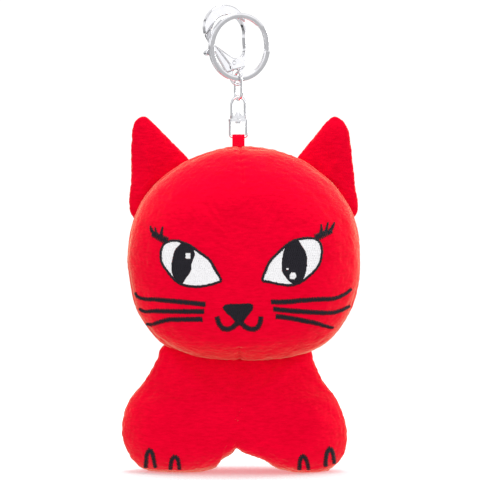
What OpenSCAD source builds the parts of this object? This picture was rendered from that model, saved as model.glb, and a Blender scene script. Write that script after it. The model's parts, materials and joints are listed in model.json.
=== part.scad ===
// Plush cat keychain: a stuffed head, body and ears, with a ribbon loop, a swivel,
// a jump link, a lobster clasp and a split key ring.
// The face looks along -Y, +Z is up, and the feet stand on z = 0.

/* [Plush] */
// Width of the head across the cheeks
head_w = 103; // [96:1:108]
// Height of the head
head_h = 96; // [92:1:98]
// Depth of the head, front to back
head_d = 74; // [66:1:80]
// Width of the body across the feet
body_w = 99; // [92:1:104]
// Depth of the body at its fullest
body_d = 52; // [44:1:56]
// Thickness of the ears
ear_d = 9; // [7:0.5:11]
// Thickness of the plush fabric with its pile
fabric_t = 1.6; // [1.2:0.1:2]
// Thickness of the embroidery thread
thread_t = 0.6; // [0.4:0.1:0.8]

/* [Ribbon] */
// Width of the ribbon
ribbon_w = 5.4; // [4.6:0.1:5.4]
// Thickness of one layer of ribbon
ribbon_t = 0.4; // [0.3:0.05:0.45]

/* [Swivel] */
// Wire diameter of the two swivel loops
loop_wire = 1.15; // [1:0.05:1.2]
// Width of the lower loop over its wire
lower_loop_w = 8.4; // [8.2:0.1:9]
// Width of the upper loop over its wire
upper_loop_w = 7; // [6.8:0.1:7.4]
// Diameter of the swivel pin
swivel_pin_d = 1.2; // [1:0.05:1.3]

/* [Link] */
// Wire diameter of the jump link
link_wire = 1.1; // [1:0.05:1.15]
// Inner width of the jump link
link_inner_w = 5; // [4.9:0.05:5.2]

/* [Key ring] */
// Outer diameter of the key ring
ring_od = 30; // [29:0.5:31]
// Radial width of the key ring's flat wire
ring_band = 2.3; // [2:0.1:2.4]
// Thickness of one of the key ring's two turns
ring_turn_t = 0.9; // [0.8:0.05:0.95]

/* [Clasp] */
// Thickness of the clasp
clasp_t = 3; // [2.8:0.1:3.1]
// Thickness of the lever that swings inside the clasp
lever_t = 1.6; // [1.4:0.1:1.8]
// Diameter of the lever's rivet
clasp_pin_d = 1.2; // [1:0.1:1.3]

/* [Hidden] */

gap = 0.15;            // between soft pieces that lie against each other
run_fit = 0.05;        // radial clearance of a turning pin
red = [0.92, 0.02, 0.14];
black = [0.13, 0.12, 0.14];
white = [0.97, 0.97, 0.97];
chrome = [0.8, 0.8, 0.82];

// ---- curves ----

// One point of a smooth (Catmull-Rom) span between b and c
function span(a, b, c, d, t) =
    0.5 * (2 * b + (c - a) * t + (2 * a - 5 * b + 4 * c - d) * t * t
    + (3 * b - a - 3 * c + d) * t * t * t);
// A closed smooth curve through the points, with n points a span
function closed_curve(p, n) =
    let (m = len(p))
    [for (i = [0 : m - 1]) for (j = [0 : n - 1])
        span(p[(i + m - 1) % m], p[i], p[(i + 1) % m], p[(i + 2) % m], j / n)];
// An open smooth curve through the points
function open_curve(p, n) =
    let (m = len(p))
    concat([for (i = [0 : m - 2]) for (j = [0 : n - 1])
        span(p[max(i - 1, 0)], p[i], p[i + 1], p[min(i + 2, m - 1)], j / n)], [p[m - 1]]);
// The outline of a stroke of thread along a curve, pointed by taper at its end
function stroke_outline(c, w, taper) =
    let (m = len(c),
        side = [for (i = [0 : m - 1])
            let (d = c[min(i + 1, m - 1)] - c[max(i - 1, 0)], s = i / (m - 1))
            [-d[1], d[0]] / norm(d) * w / 2 * (1 - taper * pow(s, 3))])
    concat([for (i = [0 : m - 1]) c[i] + side[i]],
        [for (i = [m - 1 : -1 : 0]) c[i] - side[i]]);

// ---- stuffed shapes ----

// How far a pillow's skin stands from its seam at rho, 0 at the middle and 1 at the seam
function swell(rho, fullness) = pow(max(0, 1 - pow(rho, fullness)), 1 / fullness);

// A stuffed shape: an outline in X and Z, filled out to half_d each way in Y
module pillow(outline, centre, half_d, fullness, rings, grow = 0) {
    m = len(outline);
    size = norm(outline[0] - centre);
    rhos = [for (i = [1 : rings]) pow(sin(90 * i / rings), 2 / fullness)];
    function ring(rho, side) = [for (p = outline)
        let (q = centre + (p - centre) * rho * (1 + grow / size))
        [q[0], side * (half_d + grow) * swell(rho, fullness), q[1]]];
    points = concat(
        [[centre[0], -half_d - grow, centre[1]]],
        [for (i = [0 : rings - 1]) each ring(rhos[i], -1)],
        [for (i = [rings - 2 : -1 : 0]) each ring(rhos[i], 1)],
        [[centre[0], half_d + grow, centre[1]]]);
    last = len(points) - 1;
    bands = 2 * rings - 1;
    faces = concat(
        [for (j = [0 : m - 1]) [0, 1 + j, 1 + (j + 1) % m]],
        [for (i = [0 : bands - 2]) for (j = [0 : m - 1]) each
            let (a = 1 + i * m + j, b = 1 + i * m + (j + 1) % m)
            [[a, a + m, b], [b, a + m, b + m]]],
        [for (j = [0 : m - 1])
            let (a = 1 + (bands - 1) * m)
            [last, a + (j + 1) % m, a + j]]);
    polyhedron(points, faces);
}

// The half space on one side of x, y or z = at
module beyond(axis, at, side) {
    big = 400;
    shift = [for (i = [0 : 2]) i == axis ? at + (side < 0 ? -big : 0) : -big / 2];
    translate(shift) cube(big);
}

// ---- head ----

head_centre = [1.3, 95];
head_outline = closed_curve([for (p = [
    [0, 48.4], [14, 46.4], [27.5, 41], [40, 31], [48.3, 16.5], [51.3, 0], [49.5, -16],
    [44.5, -28], [35.5, -38.3], [20, -46], [0, -48], [-20, -46], [-35.5, -38.3],
    [-44.5, -28], [-49.5, -16], [-51.3, 0], [-48.3, 16.5], [-40, 31], [-27.5, 41], [-14, 46.4]
]) head_centre + [p[0] * head_w / 103, p[1] * head_h / 96.4]], 2);
head_fullness = 2.15;
head_seam_y = 4;

module head_shape(grow = 0) {
    pillow(head_outline, head_centre, head_d / 2, head_fullness, 7, grow);
}

// The slot in the top seam that the ribbon's tail is sewn into
module ribbon_slot() {
    translate([hw_x - ribbon_w / 2 - gap, -ribbon_t - gap, tail_z - gap])
        cube([ribbon_w + 2 * gap, 2 * ribbon_t + 2 * gap, 30]);
}

module head_shell() {
    difference() {
        head_shape();
        head_shape(-fabric_t);
        ribbon_slot();
    }
}

module head_front_panel() {
    color(red) intersection() { head_shell(); beyond(1, head_seam_y, -1); }
}

module head_back_panel() {
    color(red) intersection() { head_shell(); beyond(1, head_seam_y, 1); }
}

module head_stuffing() {
    color(white) difference() {
        head_shape(-fabric_t - gap);
        ribbon_slot();
    }
}

// ---- body ----

body_centre = [-2.5, 26];
body_mid_x = -1.8;
sole_z = 0;
body_outline = closed_curve([for (p = [
    [-1.8, 9.5], [-8, 7.5], [-15.5, 1.5], [-29, -1.8], [-43, 1.2], [-50.5, 9], [-52.8, 20],
    [-49.5, 31], [-42, 40.5], [-36.5, 49], [-30, 57], [-2, 60], [27, 57], [32.5, 48], [36, 40.5],
    [42.5, 31], [46.5, 20], [46, 9], [40.5, 1.8], [26, -1.8], [11.5, 1.5], [4.5, 7.5]
]) [body_centre[0] + (p[0] - body_centre[0]) * body_w / 99, p[1]]], 2);
body_fullness = 2.1;

module body_shape(grow = 0) {
    intersection() {
        pillow(body_outline, body_centre, body_d / 2, body_fullness, 7, grow);
        beyond(2, sole_z - grow, 1);
    }
}

module body_shell() {
    difference() {
        body_shape();
        body_shape(-fabric_t);
        head_shape(gap);
    }
}

module body_panel(x_side, y_side) {
    color(red) intersection() {
        body_shell();
        beyond(0, body_mid_x, x_side);
        beyond(1, 0, y_side);
    }
}

module body_front_left_panel() { body_panel(-1, -1); }
module body_front_right_panel() { body_panel(1, -1); }
module body_back_left_panel() { body_panel(-1, 1); }
module body_back_right_panel() { body_panel(1, 1); }

module body_stuffing() {
    color(white) difference() {
        body_shape(-fabric_t - gap);
        head_shape(gap);
    }
}

// ---- ears ----

left_ear_centre = [-38, 131];
left_ear_outline = closed_curve([
    [-48.3, 113], [-48.6, 130], [-48.4, 145], [-47.6, 152.5], [-44, 156.3], [-40, 154.8],
    [-32, 147], [-22.5, 137], [-19, 130], [-24, 118], [-36, 108]
], 2);
right_ear_centre = [38.5, 131];
right_ear_outline = closed_curve([
    [38, 108], [25, 118], [20, 130], [23.5, 137], [31.5, 147], [38.2, 154.8],
    [42, 156.3], [46.2, 152.5], [48.2, 145], [50.2, 128], [50.6, 113]
], 2);
ear_y = 3;

module ear_shape(outline, centre, grow = 0) {
    translate([0, ear_y, 0]) pillow(outline, centre, ear_d / 2, 2.3, 4, grow);
}

module ear_panel(outline, centre, side) {
    color(red) difference() {
        intersection() {
            ear_shape(outline, centre);
            beyond(1, ear_y, side);
        }
        ear_shape(outline, centre, -fabric_t);
        head_shape(gap);
    }
}

module ear_filling(outline, centre) {
    color(white) difference() {
        ear_shape(outline, centre, -fabric_t - gap);
        head_shape(gap);
    }
}

module left_ear_front_panel() { ear_panel(left_ear_outline, left_ear_centre, -1); }
module left_ear_back_panel() { ear_panel(left_ear_outline, left_ear_centre, 1); }
module left_ear_filling() { ear_filling(left_ear_outline, left_ear_centre); }
module right_ear_front_panel() { ear_panel(right_ear_outline, right_ear_centre, -1); }
module right_ear_back_panel() { ear_panel(right_ear_outline, right_ear_centre, 1); }
module right_ear_filling() { ear_filling(right_ear_outline, right_ear_centre); }

// ---- embroidery ----

// Thread on the head's front, from a flat shape drawn in X and Z
module sewn_on_head() {
    intersection() {
        difference() {
            head_shape(gap + thread_t);
            head_shape(gap);
        }
        rotate([90, 0, 0]) linear_extrude(head_d) children();
    }
}

// Thread on the front of the feet, from a flat shape drawn in X and Z
module sewn_on_feet() {
    intersection() {
        difference() {
            body_shape(gap + thread_t);
            body_shape(gap);
        }
        rotate([90, 0, 0]) linear_extrude(body_d) children();
    }
}

left_eye = open_curve([[-8.2, 84.4], [-11.5, 90.5], [-16.5, 96], [-22.5, 100.4],
    [-28, 102.5], [-33.5, 101.5], [-35.8, 97.5], [-35.6, 93], [-32.5, 87.2], [-27.5, 82.5],
    [-20, 80.9], [-13.5, 81.8], [-8.6, 84]], 2);
left_pupil = open_curve([[-21.5, 99.4], [-20.4, 95.5], [-21.9, 91], [-23.5, 86], [-26.5, 82.8],
    [-29.6, 85.2], [-30.5, 90.5], [-29.2, 97], [-26.5, 101.2], [-22, 99.8]], 2);
right_eye = open_curve([[8.8, 84.4], [12, 92.5], [17.6, 98.6], [23.7, 102.7], [30.3, 103.6],
    [35, 101.5], [36.2, 96.5], [35, 91.5], [31, 86.3], [25, 82.3], [19, 81.6], [9.4, 84]], 2);
right_pupil = open_curve([[24.2, 102.2], [28, 97.5], [29, 92], [27.8, 86], [24.5, 82.6],
    [20.5, 84.2], [17.9, 88.5], [18, 95], [20, 100], [23.8, 102.2]], 2);
inner_eye = 0.87;

// An eye's inside, which is its outline drawn in towards its middle
module eye_inside(eye, middle) {
    polygon([for (p = eye) middle + (p - middle) * inner_eye]);
}

left_eye_middle = [-23.5, 91];
right_eye_middle = [23.5, 92];

module left_highlight_shape() { translate([-24.6, 93.6]) square([2.7, 2.9]); }

module right_highlight_shapes() {
    translate([21.3, 84.8]) square([2.9, 3.2]);
    translate([19.8, 89]) square([1.2, 0.8]);
}

module eye_white(eye, middle, pupil) {
    color(white) sewn_on_head() difference() {
        eye_inside(eye, middle);
        polygon(pupil);
    }
}

// The black of an eye: its outline and its pupil, less the highlight shapes given as children
module eye_black(eye, middle, pupil) {
    color(black) sewn_on_head() {
        difference() {
            polygon(eye);
            eye_inside(eye, middle);
        }
        difference() {
            polygon(pupil);
            children();
        }
    }
}

module left_eye_white() { eye_white(left_eye, left_eye_middle, left_pupil); }
module right_eye_white() { eye_white(right_eye, right_eye_middle, right_pupil); }

module left_eye_outline() {
    eye_black(left_eye, left_eye_middle, left_pupil) left_highlight_shape();
}

module right_eye_outline() {
    eye_black(right_eye, right_eye_middle, right_pupil) right_highlight_shapes();
}

module left_eye_highlight() { color(white) sewn_on_head() left_highlight_shape(); }
module right_eye_highlight() { color(white) sewn_on_head() right_highlight_shapes(); }

module left_lashes() {
    color(black) sewn_on_head()
        polygon([[-33, 101.9], [-34.8, 101.4], [-36.8, 102.1], [-38.9, 103.8], [-40, 108],
            [-38.4, 106.2], [-37.9, 108], [-36, 105], [-34.4, 107.8], [-34.6, 103.9]]);
}

module right_lashes() {
    color(black) sewn_on_head()
        polygon([[33.4, 103], [35.4, 102.7], [37.5, 104], [40.5, 106.4], [41, 109.6],
            [39, 107.7], [38.2, 109.8], [37, 106.3], [35.2, 108.9], [35.2, 104.9]]);
}

module nose_shape() {
    polygon(closed_curve([[-7.5, 73.2], [-1.4, 74], [4.7, 73.4], [3.6, 69.6], [-0.7, 65.2],
        [-5.6, 69]], 3));
}

module nose() { color(black) sewn_on_head() nose_shape(); }

mouth_w = 1.5;

module mouth_shape() {
    polygon(stroke_outline(open_curve([[-1.5, 65.6], [-3.6, 63.7], [-6.4, 62.8],
        [-9.4, 64.9], [-10.6, 68.2]], 3), mouth_w, 0));
    polygon(stroke_outline(open_curve([[-0.1, 65.6], [1.7, 63.8], [4.6, 62.8],
        [7.8, 64.5], [8.8, 68.2]], 3), mouth_w, 0));
}

module mouth() {
    color(black) sewn_on_head() difference() {
        mouth_shape();
        offset(gap) nose_shape();
    }
}

whisker_w = 1.6;
left_whisker_lines = [
    [[-15.9, 73.8], [-26.9, 74.8], [-37.9, 75.9], [-43.5, 76.6], [-46.2, 78.4]],
    [[-16.5, 70.6], [-27, 70.6], [-37.9, 70.7], [-42.3, 70.7], [-44.7, 71.7]],
    [[-17.2, 67.1], [-26.9, 67.1], [-33.5, 66.7], [-38.5, 65.1], [-41.6, 65]]
];
right_whisker_lines = [
    [[13.4, 74.8], [25.9, 75.2], [37, 76], [43.6, 77.2], [48.5, 80.4]],
    [[14.3, 71.7], [25.9, 70.6], [38, 70], [43.8, 71], [47.6, 72.9]],
    [[15.4, 68.4], [23.7, 67.3], [32.5, 65.6], [36.9, 64.2], [40.4, 63.4]]
];

module whiskers(lines) {
    color(black) sewn_on_head() for (line = lines)
        polygon(stroke_outline(open_curve(line, 2), whisker_w, 0.7));
}

module left_whiskers() { whiskers(left_whisker_lines); }
module right_whiskers() { whiskers(right_whisker_lines); }

// One toe line: an arch of thread on the front of a foot
module toe_line(foot_x, half_w, height, lean) {
    polygon(stroke_outline([for (a = [0 : 15 : 180])
        [foot_x + lean * sin(a) + half_w * cos(a), 1.3 + height * sin(a)]], 0.9, 0));
}

module left_toe_lines() {
    color(black) sewn_on_feet() {
        toe_line(-40.2, 3, 8, -0.8);
        toe_line(-29.3, 2.3, 6.2, 0);
    }
}

module right_toe_lines() {
    color(black) sewn_on_feet() {
        toe_line(28.2, 1.8, 6.4, 0);
        toe_line(39, 2.2, 9.4, 0);
    }
}

// ---- ribbon ----

hw_x = -1.2;           // the hardware's centre line
fold_z = 147.6;        // the wire that the ribbon is folded round
tail_z = 134;
seam_z = 143.3;
bend_z = 143.9;

module ribbon_tail() {
    color(red) translate([hw_x - ribbon_w / 2, -ribbon_t, tail_z])
        cube([ribbon_w, 2 * ribbon_t, seam_z - tail_z]);
}

module ribbon_loop() {
    inner_r = loop_wire / 2 + run_fit;
    outer_r = inner_r + ribbon_t;
    below = fold_z - bend_z - 0.2;
    color(red) translate([hw_x - ribbon_w / 2, 0, fold_z]) rotate([90, 0, 90])
        linear_extrude(ribbon_w) difference() {
            union() {
                circle(outer_r, $fn = 48);
                polygon([[-outer_r, 0], [-ribbon_t, -below], [ribbon_t, -below], [outer_r, 0]]);
            }
            circle(inner_r, $fn = 48);
            polygon([[-inner_r, 0], [0, -below + 0.8], [inner_r, 0]]);
        }
}

// ---- swivel ----

crossbar_z = 154.3;
crossbar_t = 1;
crossbar_w = 2.4;
upper_base_z = 155.5;
upper_base_t = 1.3;
boss_top_z = 158.2;
arch_z = 165.1;        // centre of the upper loop's wire at its top
rivet_head_z = 153.5;

// A straight piece of wire from one point to another
module wire(a, b, d) {
    v = b - a;
    translate(a) rotate([0, acos(v[2] / norm(v)), atan2(v[1], v[0])])
        cylinder(h = norm(v), d = d, $fn = 32);
}

// A wire arc of radius r about Y, from angle a0 and through da, centred on c in X and Z
module wire_arc(c, r, a0, da, d) {
    translate([c[0], 0, c[1]]) rotate([90, 0, 0]) rotate([0, 0, a0])
        rotate_extrude(angle = da, $fn = 64) translate([r, 0]) circle(d = d, $fn = 32);
}

// A flat bar across the loop with round ends, and a hole for the pin
module crossbar(w, z, t, hole_d) {
    half = w / 2 - crossbar_w / 2;
    difference() {
        union() {
            translate([-half, -crossbar_w / 2, z]) cube([2 * half, crossbar_w, t]);
            for (s = [-1, 1]) translate([s * half, 0, z]) cylinder(h = t, d = crossbar_w, $fn = 32);
        }
        translate([0, 0, z - 1]) cylinder(h = t + 2, d = hole_d, $fn = 48);
    }
}

module swivel_lower_loop() {
    half = (lower_loop_w - loop_wire) / 2;
    corner = 0.9;
    color(chrome) translate([hw_x, 0, 0]) {
        wire([corner - half, 0, fold_z], [half - corner, 0, fold_z], loop_wire);
        for (s = [-1, 1]) wire([s * half, 0, fold_z + corner], [s * half, 0, crossbar_z + 0.5], loop_wire);
        wire_arc([half - corner, fold_z + corner], corner, -90, 90, loop_wire);
        wire_arc([corner - half, fold_z + corner], corner, 180, 90, loop_wire);
        crossbar(lower_loop_w + 0.3, crossbar_z, crossbar_t, swivel_pin_d + 2 * run_fit);
    }
}

module swivel_upper_loop() {
    half = (upper_loop_w - loop_wire) / 2;
    color(chrome) translate([hw_x, 0, 0]) {
        wire_arc([0, arch_z - half], half, 0, 180, loop_wire);
        for (s = [-1, 1]) wire([s * half, 0, upper_base_z + 0.5], [s * half, 0, arch_z - half], loop_wire);
        crossbar(upper_loop_w + 0.3, upper_base_z, upper_base_t, swivel_pin_d);
        difference() {
            translate([0, 0, upper_base_z + upper_base_t])
                cylinder(h = boss_top_z - upper_base_z - upper_base_t, d1 = 3, d2 = 2.2, $fn = 48);
            translate([0, 0, upper_base_z]) cylinder(h = 4, d = swivel_pin_d, $fn = 48);
        }
    }
}

module swivel_pin() {
    head_t = 0.7;
    color(chrome) translate([hw_x, 0, rivet_head_z]) {
        cylinder(h = head_t, d = 2.6, $fn = 48);
        cylinder(h = boss_top_z - rivet_head_z, d = swivel_pin_d, $fn = 48);
    }
}

// ---- link, ring and clasp: they stand in a plane that is turned about Z ----

hang_yaw = 28;
link_r = (link_inner_w + link_wire) / 2;
link_low_z = arch_z - loop_wire / 2 - 0.1 - link_wire / 2 + link_r;
link_high_z = 172.9;

// What is drawn here has X across the ring's face, and Y away from the viewer
module hang() { translate([hw_x, 0, 0]) rotate([0, 0, hang_yaw]) children(); }

module jump_link() {
    color(chrome) hang() rotate([0, 0, 90]) {
        wire_arc([0, link_high_z], link_r, 0, 180, link_wire);
        wire_arc([0, link_low_z], link_r, 180, 180, link_wire);
        for (s = [-1, 1]) wire([s * link_r, 0, link_low_z], [s * link_r, 0, link_high_z], link_wire);
    }
}

ring_y = -0.85;
ring_z = 187;

module key_ring() {
    edge = 0.3;
    groove = 0.15;     // between the two turns
    band = ring_band;
    t = ring_turn_t;
    color(chrome) hang() translate([0, ring_y, ring_z]) rotate([90, 0, 0])
        rotate_extrude($fn = 96) translate([ring_od / 2 - band, 0])
            polygon([[edge, -t], [band - edge, -t], [band, edge - t], [band, -groove],
                [band - groove, 0], [band, groove], [band, t - edge], [band - edge, t], [edge, t],
                [0, t - edge], [0, groove], [groove, 0], [0, -groove], [0, edge - t]]);
}

eye_x = 0;
eye_y = 1.3;
eye_z = 172.8;
clasp_lean = 11.5;     // to the left
clasp_back = 5;        // away from the viewer
eye_r = 3;
eye_t = 1.4;
eye_hole_r = 1.6;
eye_hole_rise = 2.7;
top_r = 10.2;
top_c = [-0.5, 23.2];
pivot = [-0.4, 7.4];
tip_r = 18.4;
slot_t = lever_t + 0.2;

// Brings the clasp from its own plane, X across and Y up, to its place on the link
module clasp_place() {
    hang() translate([eye_x, eye_y, eye_z]) rotate([-clasp_back, -clasp_lean, 0])
        rotate([90, 0, 0]) children();
}

// The clasp's whole outline: a small circle and a large one with the lines that touch both
module clasp_outline() {
    d = norm(top_c);
    turn = atan2(top_c[1], top_c[0]);
    open = acos((eye_r - top_r) / d);
    function on(c, r, a) = c + r * [cos(a), sin(a)];
    circle(eye_r, $fn = 64);
    translate(top_c) circle(top_r, $fn = 96);
    polygon([on([0, 0], eye_r, turn - open), on(top_c, top_r, turn - open),
        on(top_c, top_r, turn + open), on([0, 0], eye_r, turn + open)]);
}

// The space inside the hook
module clasp_opening() {
    translate([0.1, 20.6]) circle(8.1, $fn = 96);
    translate([2.2, 13.6]) circle(4.6, $fn = 64);
    polygon([[-5.5, 14.5], [-1.5, 10.8], [6.8, 13.6], [7.5, 17.5], [-5, 17.5]]);
}

// The side that the lever closes, from the hook's tip to the pivot
module lever_side(r) {
    intersection() {
        translate(pivot) circle(r, $fn = 128);
        polygon([[-16, 26], [-16, 4], [-2, 4], [-2.6, 7.2], [-7.3, 16.4], [-7.3, 26]]);
    }
}

// The slot's flat shape, which the lever swings into
module lever_slot() {
    difference() {
        polygon([[-16, 27], [-16, 5.3], [1.7, 5.3], [1.7, 27]]);
        difference() {
            translate([-20, 14]) square([40, 20]);
            translate(pivot) circle(tip_r, $fn = 128);
        }
    }
}

module eye_hole() {
    circle(eye_hole_r, $fn = 48);
    translate([0, eye_hole_rise]) circle(eye_hole_r, $fn = 48);
    translate([-eye_hole_r, 0]) square([2 * eye_hole_r, eye_hole_rise]);
}

module clasp_body() {
    color(chrome) clasp_place() difference() {
        translate([0, 0, -clasp_t / 2]) linear_extrude(clasp_t) difference() {
            clasp_outline();
            clasp_opening();
            lever_side(tip_r);
        }
        translate([0, 0, -clasp_t]) linear_extrude(2 * clasp_t) eye_hole();
        for (s = [-1, 1]) translate([-10, -10, s > 0 ? eye_t / 2 : -eye_t / 2 - clasp_t])
            cube([20, 14.4, clasp_t]);
        translate([0, 0, -slot_t / 2]) linear_extrude(slot_t) lever_slot();
        translate([pivot[0], pivot[1], -clasp_t]) cylinder(h = 2 * clasp_t, d = clasp_pin_d, $fn = 48);
    }
}

module clasp_lever() {
    knob = [-11.6, 14.4];
    pocket_t = 0.8;
    color(chrome) clasp_place() difference() {
        union() {
            translate([0, 0, -lever_t / 2]) linear_extrude(lever_t) {
                intersection() {
                    clasp_outline();
                    lever_side(tip_r - 0.2);
                }
                translate(pivot) circle(1.9, $fn = 48);
                polygon([pivot + [1.6, 0.9], pivot + [-1, -1.6], [-4.2, 7.4], [-8.4, 16.4], [-6.6, 16.4]]);
                polygon([knob + [-0.4, -1.1], knob + [4, -0.2], knob + [3.4, 2.8], knob + [-0.4, 1.1]]);
            }
            translate([knob[0], knob[1], -1.5]) cylinder(h = 3, d = 2.4, $fn = 48);
        }
        translate([pivot[0], pivot[1], -clasp_t])
            cylinder(h = 2 * clasp_t, d = clasp_pin_d + 2 * run_fit, $fn = 48);
        translate([pivot[0], pivot[1], -pocket_t / 2]) cylinder(h = pocket_t, d = 3, $fn = 48);
    }
}

module clasp_pin() {
    color(chrome) clasp_place() translate([pivot[0], pivot[1], -clasp_t / 2])
        cylinder(h = clasp_t, d = clasp_pin_d, $fn = 48);
}

module clasp_spring() {
    turn_d = 0.6;
    color(chrome) clasp_place() translate([pivot[0], pivot[1], 0])
        rotate_extrude($fn = 48) translate([1.02, 0]) circle(d = turn_d, $fn = 24);
}

head_front_panel();
head_back_panel();
head_stuffing();
body_front_left_panel();
body_front_right_panel();
body_back_left_panel();
body_back_right_panel();
body_stuffing();
left_ear_front_panel();
left_ear_back_panel();
left_ear_filling();
right_ear_front_panel();
right_ear_back_panel();
right_ear_filling();
left_eye_white();
left_eye_outline();
left_eye_highlight();
left_lashes();
right_eye_white();
right_eye_outline();
right_eye_highlight();
right_lashes();
nose();
mouth();
left_whiskers();
right_whiskers();
left_toe_lines();
right_toe_lines();
ribbon_tail();
ribbon_loop();
swivel_lower_loop();
swivel_upper_loop();
swivel_pin();
jump_link();
key_ring();
clasp_body();
clasp_lever();
clasp_pin();
clasp_spring();
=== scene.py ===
"""Plush cat keychain: the looks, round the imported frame. Lengths in the lists are millimetres."""
import json
import math

import bpy
import numpy as np
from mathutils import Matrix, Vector, noise
from mathutils.bvhtree import BVHTree


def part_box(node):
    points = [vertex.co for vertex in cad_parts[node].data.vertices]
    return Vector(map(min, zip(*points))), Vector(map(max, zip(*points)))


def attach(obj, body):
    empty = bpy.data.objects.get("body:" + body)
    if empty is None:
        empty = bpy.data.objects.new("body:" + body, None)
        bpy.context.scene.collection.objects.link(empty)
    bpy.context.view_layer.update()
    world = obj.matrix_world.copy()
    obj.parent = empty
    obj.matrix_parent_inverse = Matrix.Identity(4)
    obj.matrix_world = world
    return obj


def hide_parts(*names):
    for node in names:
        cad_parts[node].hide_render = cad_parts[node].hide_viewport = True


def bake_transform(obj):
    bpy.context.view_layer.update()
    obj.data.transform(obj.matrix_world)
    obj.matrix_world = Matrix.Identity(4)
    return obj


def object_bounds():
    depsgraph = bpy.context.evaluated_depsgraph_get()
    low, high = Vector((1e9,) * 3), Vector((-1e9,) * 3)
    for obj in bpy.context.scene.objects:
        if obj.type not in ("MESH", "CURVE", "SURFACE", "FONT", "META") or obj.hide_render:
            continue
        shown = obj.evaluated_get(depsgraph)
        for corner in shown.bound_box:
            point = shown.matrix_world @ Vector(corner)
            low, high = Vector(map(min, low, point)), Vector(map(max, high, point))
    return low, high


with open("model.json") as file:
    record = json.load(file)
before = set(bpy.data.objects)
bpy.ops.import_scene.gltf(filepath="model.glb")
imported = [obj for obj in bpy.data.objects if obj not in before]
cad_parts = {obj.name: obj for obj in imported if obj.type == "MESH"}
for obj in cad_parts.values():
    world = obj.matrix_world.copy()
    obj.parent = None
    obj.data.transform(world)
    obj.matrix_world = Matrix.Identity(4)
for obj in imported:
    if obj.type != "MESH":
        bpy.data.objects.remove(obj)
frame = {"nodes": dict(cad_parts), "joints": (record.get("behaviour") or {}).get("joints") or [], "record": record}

cad_low, cad_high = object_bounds()
MM = 0.001

# ---- camera ----


def make_camera(distance=2.6, elevation=3.0, margin=1.027, aside=-0.0005, drop=0.0007):
    """Looks along +Y at the middle of the CAD box, from a few degrees above it. The picture is margin
    times as high as the box, and aside and drop are metres that its middle is off the box's."""
    middle = (cad_low + cad_high) / 2
    aim = Vector((aside, 0, middle.z - drop))
    angle = math.radians(elevation)
    data = bpy.data.cameras.new("camera")
    data.sensor_width = 36
    data.lens = 36 * distance / ((cad_high.z - cad_low.z) * margin)
    data.clip_start, data.clip_end = 0.05, 50
    camera = bpy.data.objects.new("camera", data)
    bpy.context.scene.collection.objects.link(camera)
    camera.location = aim + distance * Vector((0, -math.cos(angle), math.sin(angle)))
    camera.rotation_euler = (math.pi / 2 - angle, 0, 0)
    bpy.context.scene.camera = camera
    return np.array(camera.location) / MM


front_eye = make_camera()

# ---- curves ----


def catmull_rom(a, b, c, d, t):
    """The place a share t of the way from b to c, on a smooth curve through all four."""
    return 0.5 * (2 * b + (c - a) * t + (2 * a - 5 * b + 4 * c - d) * t ** 2
                  + (3 * b - a - 3 * c + d) * t ** 3)


def smooth_curve(points, per_span, closed=False):
    """A Catmull-Rom curve through the points, as an array of rows."""
    p = np.array(points, float)
    count = len(p)
    spans = count if closed else count - 1
    t = (np.arange(per_span) / per_span)[:, None]
    rows = []
    for i in range(spans):
        if closed:
            a, b, c, d = (p[(i + k) % count] for k in (-1, 0, 1, 2))
        else:
            a, b, c, d = (p[min(max(i + k, 0), count - 1)] for k in (-1, 0, 1, 2))
        rows.append(catmull_rom(a, b, c, d, t))
    if not closed:
        rows.append(p[-1:])
    return np.vstack(rows)


def even_steps(curve, count, closed=False):
    """The curve again, as that many points at even distances along it."""
    p = np.vstack([curve, curve[:1]]) if closed else curve
    along = np.concatenate([[0], np.cumsum(np.linalg.norm(np.diff(p, axis=0), axis=1))])
    at = np.linspace(0, along[-1], count + 1)[:-1] if closed else np.linspace(0, along[-1], count)
    return np.column_stack([np.interp(at, along, p[:, k]) for k in range(p.shape[1])])


def curve_length(curve):
    return float(np.linalg.norm(np.diff(curve, axis=0), axis=1).sum())


# ---- meshes ----


def add_mesh(name, verts, faces, material):
    """A smoothly shaded mesh object at the origin. verts are in millimetres."""
    mesh = bpy.data.meshes.new(name)
    mesh.from_pydata((np.asarray(verts, float) * MM).tolist(), [], [tuple(f) for f in faces])
    mesh.materials.append(material)
    mesh.polygons.foreach_set("use_smooth", np.ones(len(mesh.polygons), bool))
    mesh.update()
    obj = bpy.data.objects.new(name, mesh)
    bpy.context.scene.collection.objects.link(obj)
    return obj


def place(obj, body, slot, *nodes):
    """Makes the piece move with its body and hides the CAD nodes it stands for; slot, the name of its finish, is
    not used.
    """
    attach(obj, body)
    if nodes:
        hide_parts(*nodes)


def grid_faces(rows, columns, flip=False):
    """Quads between closed rings of points, with that many columns in each ring."""
    faces = []
    for i in range(rows - 1):
        for j in range(columns):
            k = (j + 1) % columns
            quad = (i * columns + j, i * columns + k, (i + 1) * columns + k, (i + 1) * columns + j)
            faces.append(quad[::-1] if flip else quad)
    return faces


def tube_faces(rows, columns):
    """The same with a cap on the first ring and one on the last."""
    caps = [tuple(range(columns))[::-1], tuple(range((rows - 1) * columns, rows * columns))]
    return grid_faces(rows, columns) + caps


def joint_named(name):
    return next(j for j in frame["joints"] if j["name"] == name)


# ---- materials ----


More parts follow.
